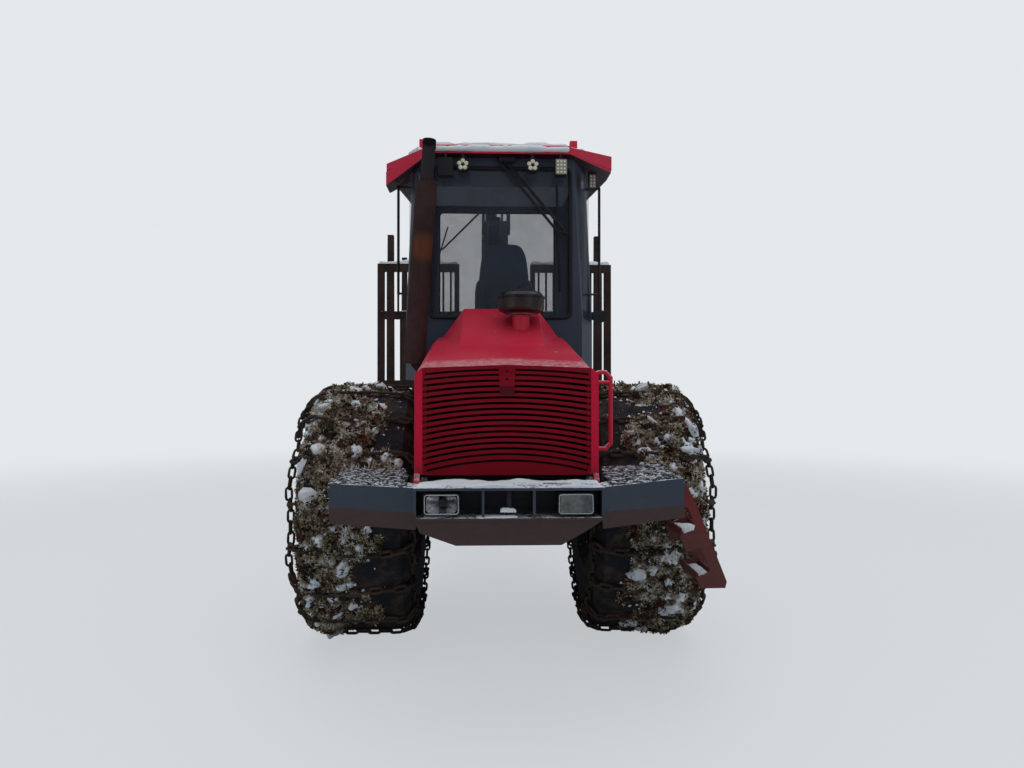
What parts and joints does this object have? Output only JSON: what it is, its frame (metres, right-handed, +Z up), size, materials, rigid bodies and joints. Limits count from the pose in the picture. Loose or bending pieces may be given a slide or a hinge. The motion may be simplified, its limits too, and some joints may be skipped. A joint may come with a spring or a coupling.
{
  "type": "forestry forwarder",
  "caption": "Forestry forwarder hinged in the middle, with chained front tyres, a tipping hood, a cab, a log load space on bogies and a loading crane with a grapple.",
  "frame": {"origin": "on the floor, under the middle of the machine's length and width", "axes": "+Z up, the front faces -Y, +X to the machine's left"},
  "size_m": [2.478, 8.9631, 4.6131],
  "materials": {
    "dark_paint": "dull, muddy",
    "cast_iron": "dull",
    "grey_blue_steel": "worn, dull",
    "lamp_metal": "semi-gloss",
    "red_paint": "faded, semi-gloss",
    "glass": "glossy",
    "seat_cloth": "matte",
    "black_plastic": "matte",
    "rusty_steel": "rusty, matte",
    "black_steel": "semi-gloss",
    "bright_steel": "glossy",
    "tyre_rubber": "matte, muddy",
    "lamp_lens": "glossy",
    "rim_paint": "dull, muddy",
    "chain_steel": "rusty, matte"
  },
  "bodies": {
    "front": {"front_frame": "dark_paint", "side_boxes": "dark_paint", "engine_block": "cast_iron", "front_axle": "dark_paint", "bumper": "grey_blue_steel", "lamps": "lamp_metal", "cab_shell": "dark_paint", "cab_roof": "red_paint", "cab_glass": "glass", "seat": "seat_cloth", "console": "black_plastic", "exhaust": "rusty_steel", "cab_fittings": "black_steel"},
    "hood": {"hood": "red_paint", "grille": "red_paint", "precleaner": "black_plastic"},
    "door": {"door": "dark_paint", "door_glass": "glass"},
    "ladder": {"ladder": "red_paint"},
    "front_left_wheel": {"front_left_tyre": "tyre_rubber", "front_left_rim": "rim_paint", "front_left_chain": "chain_steel"},
    "front_right_wheel": {"front_right_tyre": "tyre_rubber", "front_right_rim": "rim_paint", "front_right_chain": "chain_steel"},
    "middle": {"centre_joint": "dark_paint"},
    "steer_left_cylinder": {"steer_left_barrel": "black_steel"},
    "steer_left_piston": {"steer_left_rod": "bright_steel"},
    "steer_right_cylinder": {"steer_right_barrel": "black_steel"},
    "steer_right_piston": {"steer_right_rod": "bright_steel"},
    "rear": {"rear_frame": "dark_paint", "tail_lamps": "lamp_lens", "load_gate": "rusty_steel", "bunks": "red_paint", "crane_base": "dark_paint"},
    "left_bogie": {"bogie_left": "dark_paint"},
    "right_bogie": {"bogie_right": "dark_paint"},
    "rear_wheel_1": {"rear_tyre_1": "tyre_rubber", "rear_rim_1": "rim_paint"},
    "rear_wheel_2": {"rear_tyre_2": "tyre_rubber", "rear_rim_2": "rim_paint"},
    "rear_wheel_3": {"rear_tyre_3": "tyre_rubber", "rear_rim_3": "rim_paint"},
    "rear_wheel_4": {"rear_tyre_4": "tyre_rubber", "rear_rim_4": "rim_paint"},
    "column": {"crane_column": "red_paint"},
    "boom": {"main_boom": "red_paint"},
    "lift_cylinder": {"lift_barrel": "black_steel"},
    "lift_piston": {"lift_rod": "bright_steel"},
    "outer_boom": {"jib": "red_paint"},
    "jib_cylinder": {"jib_barrel": "black_steel"},
    "jib_piston": {"jib_rod": "bright_steel"},
    "tip_slide": {"extension": "red_paint"},
    "tip_link": {"hanger": "black_steel"},
    "turner": {"rotator": "black_steel"},
    "jaw_left": {"grapple_left": "red_paint"},
    "jaw_right": {"grapple_right": "red_paint"}
  },
  "joints": [
    {"name": "steer", "type": "hinge", "parent": "front", "child": "middle", "pos_m": [0, -0.9315, 0.85], "axis": [0, 0, 1], "range_deg": [-43, 43]},
    {"name": "roll", "type": "hinge", "parent": "middle", "child": "rear", "pos_m": [0, -0.5515, 0.85], "axis": [0, 1, 0], "range_deg": [-15, 15]},
    {"name": "front_left_spin", "type": "hinge", "parent": "front", "child": "front_left_wheel", "pos_m": [0.875, -2.6815, 0.81925], "axis": [1, 0, 0], "continuous": true},
    {"name": "front_right_spin", "type": "hinge", "parent": "front", "child": "front_right_wheel", "pos_m": [-0.875, -2.6815, 0.81925], "axis": [1, 0, 0], "continuous": true},
    {"name": "left_bogie_tilt", "type": "hinge", "parent": "rear", "child": "left_bogie", "pos_m": [0.505, 1.9185, 0.73], "axis": [1, 0, 0], "range_deg": [-18, 18]},
    {"name": "right_bogie_tilt", "type": "hinge", "parent": "rear", "child": "right_bogie", "pos_m": [-0.505, 1.9185, 0.73], "axis": [1, 0, 0], "range_deg": [-18, 18]},
    {"name": "rear_spin_1", "type": "hinge", "parent": "left_bogie", "child": "rear_wheel_1", "pos_m": [0.925, 1.2685, 0.62], "axis": [1, 0, 0], "continuous": true},
    {"name": "rear_spin_2", "type": "hinge", "parent": "left_bogie", "child": "rear_wheel_2", "pos_m": [0.925, 2.5685, 0.62], "axis": [1, 0, 0], "continuous": true},
    {"name": "rear_spin_3", "type": "hinge", "parent": "right_bogie", "child": "rear_wheel_3", "pos_m": [-0.925, 1.2685, 0.62], "axis": [1, 0, 0], "continuous": true},
    {"name": "rear_spin_4", "type": "hinge", "parent": "right_bogie", "child": "rear_wheel_4", "pos_m": [-0.925, 2.5685, 0.62], "axis": [1, 0, 0], "continuous": true},
    {"name": "slew", "type": "hinge", "parent": "rear", "child": "column", "pos_m": [0, -0.5615, 1.55], "axis": [0, 0, -1], "range_deg": [-115, 115]},
    {"name": "lift", "type": "hinge", "parent": "column", "child": "boom", "pos_m": [0, -0.5615, 3.42], "axis": [1, 0, 0], "range_deg": [-25, 60]},
    {"name": "lift_cylinder_swing", "type": "hinge", "parent": "column", "child": "lift_cylinder", "pos_m": [0, -0.3215, 2.25], "axis": [1, 0, 0], "range_deg": [-9.75, 22.7]},
    {"name": "lift_stroke", "type": "slide", "parent": "lift_cylinder", "child": "lift_piston", "axis": [0, 0.5084, 0.8611], "range_m": [-0.277, 0.662]},
    {"name": "jib_fold", "type": "hinge", "parent": "boom", "child": "outer_boom", "pos_m": [0, 1.94991, 4.09293], "axis": [-1, 0, 0], "range_deg": [-8, 117]},
    {"name": "jib_cylinder_swing", "type": "hinge", "parent": "boom", "child": "jib_cylinder", "pos_m": [0, 0.43631, 3.94618], "axis": [-1, 0, 0], "range_deg": [-1.55, 0.57]},
    {"name": "jib_stroke", "type": "slide", "parent": "jib_cylinder", "child": "jib_piston", "axis": [0, 0.9857, 0.1685], "range_m": [-0.0237, 0.3191]},
    {"name": "extend", "type": "slide", "parent": "outer_boom", "child": "tip_slide", "axis": [0, 0.9781, 0.2079], "range_m": [0, 1.2]},
    {"name": "hanger_swing", "type": "hinge", "parent": "tip_slide", "child": "tip_link", "pos_m": [0, 4.19965, 4.57113], "axis": [1, 0, 0], "range_deg": [-30, 60]},
    {"name": "rotator_spin", "type": "hinge", "parent": "tip_link", "child": "turner", "pos_m": [0, 4.19965, 4.27113], "axis": [0, 0, 1], "continuous": true},
    {"name": "grapple_open", "type": "hinge", "parent": "turner", "child": "jaw_left", "pos_m": [0, 4.24965, 4.11613], "axis": [1, 0, 0], "range_deg": [0, 50]},
    {"name": "grapple_open_2", "type": "hinge", "parent": "turner", "child": "jaw_right", "pos_m": [0, 4.14965, 4.11613], "axis": [-1, 0, 0], "range_deg": [0, 50]},
    {"name": "door_open", "type": "hinge", "parent": "front", "child": "door", "pos_m": [0.714, -1.2795, 2.4], "axis": [0, 0, 1], "range_deg": [0, 85]},
    {"name": "hood_tip", "type": "hinge", "parent": "front", "child": "hood", "pos_m": [0, -4.1065, 1.15], "axis": [1, 0, 0], "range_deg": [0, 65]},
    {"name": "ladder_fold", "type": "hinge", "parent": "front", "child": "ladder", "pos_m": [0.925, -3.7815, 1.12], "axis": [0, -1, 0], "range_deg": [0, 100]},
    {"name": "steer_left_swing", "type": "hinge", "parent": "front", "child": "steer_left_cylinder", "pos_m": [0.33, -1.6815, 0.85], "axis": [0, 0, 1], "range_deg": [-2.22, 2.22]},
    {"name": "steer_left_stroke", "type": "slide", "parent": "steer_left_cylinder", "child": "steer_left_piston", "axis": [-0.09, 0.9959, 0], "range_m": [-0.183, 0.183]},
    {"name": "steer_right_swing", "type": "hinge", "parent": "front", "child": "steer_right_cylinder", "pos_m": [-0.33, -1.6815, 0.85], "axis": [0, 0, 1], "range_deg": [-2.22, 2.22]},
    {"name": "steer_right_stroke", "type": "slide", "parent": "steer_right_cylinder", "child": "steer_right_piston", "axis": [0.09, 0.9959, 0], "range_m": [-0.183, 0.183]}
  ],
  "couplings": [
    {"joint": "lift_cylinder_swing", "follows": "lift", "ratio": 0.37},
    {"joint": "lift_stroke", "follows": "lift", "m_per_rad": 0.63025},
    {"joint": "jib_cylinder_swing", "follows": "jib_fold", "ratio": -0.009},
    {"joint": "jib_stroke", "follows": "jib_fold", "m_per_rad": 0.15527},
    {"joint": "grapple_open_2", "follows": "grapple_open", "ratio": 1},
    {"joint": "steer_left_swing", "follows": "steer", "ratio": 0.04},
    {"joint": "steer_left_stroke", "follows": "steer", "m_per_rad": 0.24122},
    {"joint": "steer_right_swing", "follows": "steer", "ratio": 0.04},
    {"joint": "steer_right_stroke", "follows": "steer", "m_per_rad": -0.24122}
  ]
}
